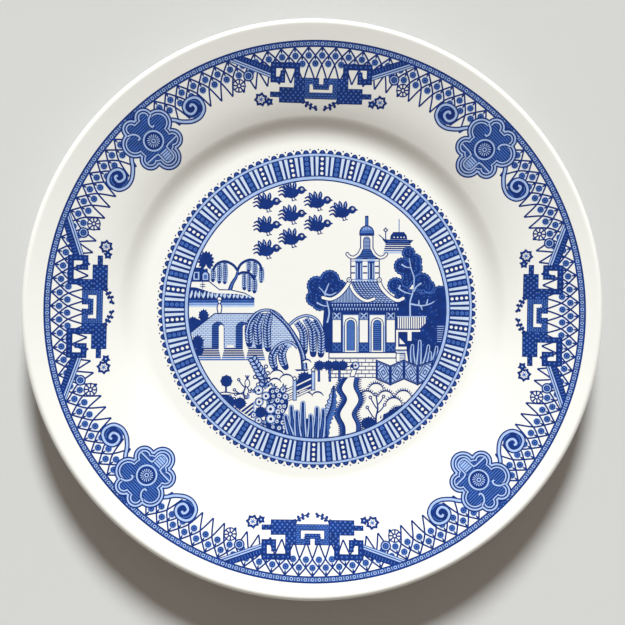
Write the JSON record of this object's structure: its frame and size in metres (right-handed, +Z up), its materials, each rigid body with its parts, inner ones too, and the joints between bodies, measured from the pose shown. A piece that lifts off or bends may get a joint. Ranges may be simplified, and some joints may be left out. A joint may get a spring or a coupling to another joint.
{
  "type": "dinner plate",
  "caption": "Round rimmed dinner plate in glazed porcelain with a blue landscape print, standing on a foot ring.",
  "frame": {"origin": "centre of the foot ring's bearing edge, on the surface the plate stands on", "axes": "+Z up along the plate's axis; +Y towards the top of the landscape print; +X to its right"},
  "size_m": [0.267, 0.267, 0.0225],
  "materials": {
    "biscuit": "bare fired clay, matt",
    "glaze": "clear gloss glaze over white china",
    "blue_print": "cobalt blue transfer print, fired into the glaze"
  },
  "bodies": {
    "root": {"biscuit_body": "biscuit", "glaze_coat": "glaze", "foot_recess_glaze": "glaze", "medallion_transfer": "blue_print", "border_transfer_east": "blue_print", "border_transfer_north": "blue_print", "border_transfer_west": "blue_print", "border_transfer_south": "blue_print"}
  },
  "joints": []
}
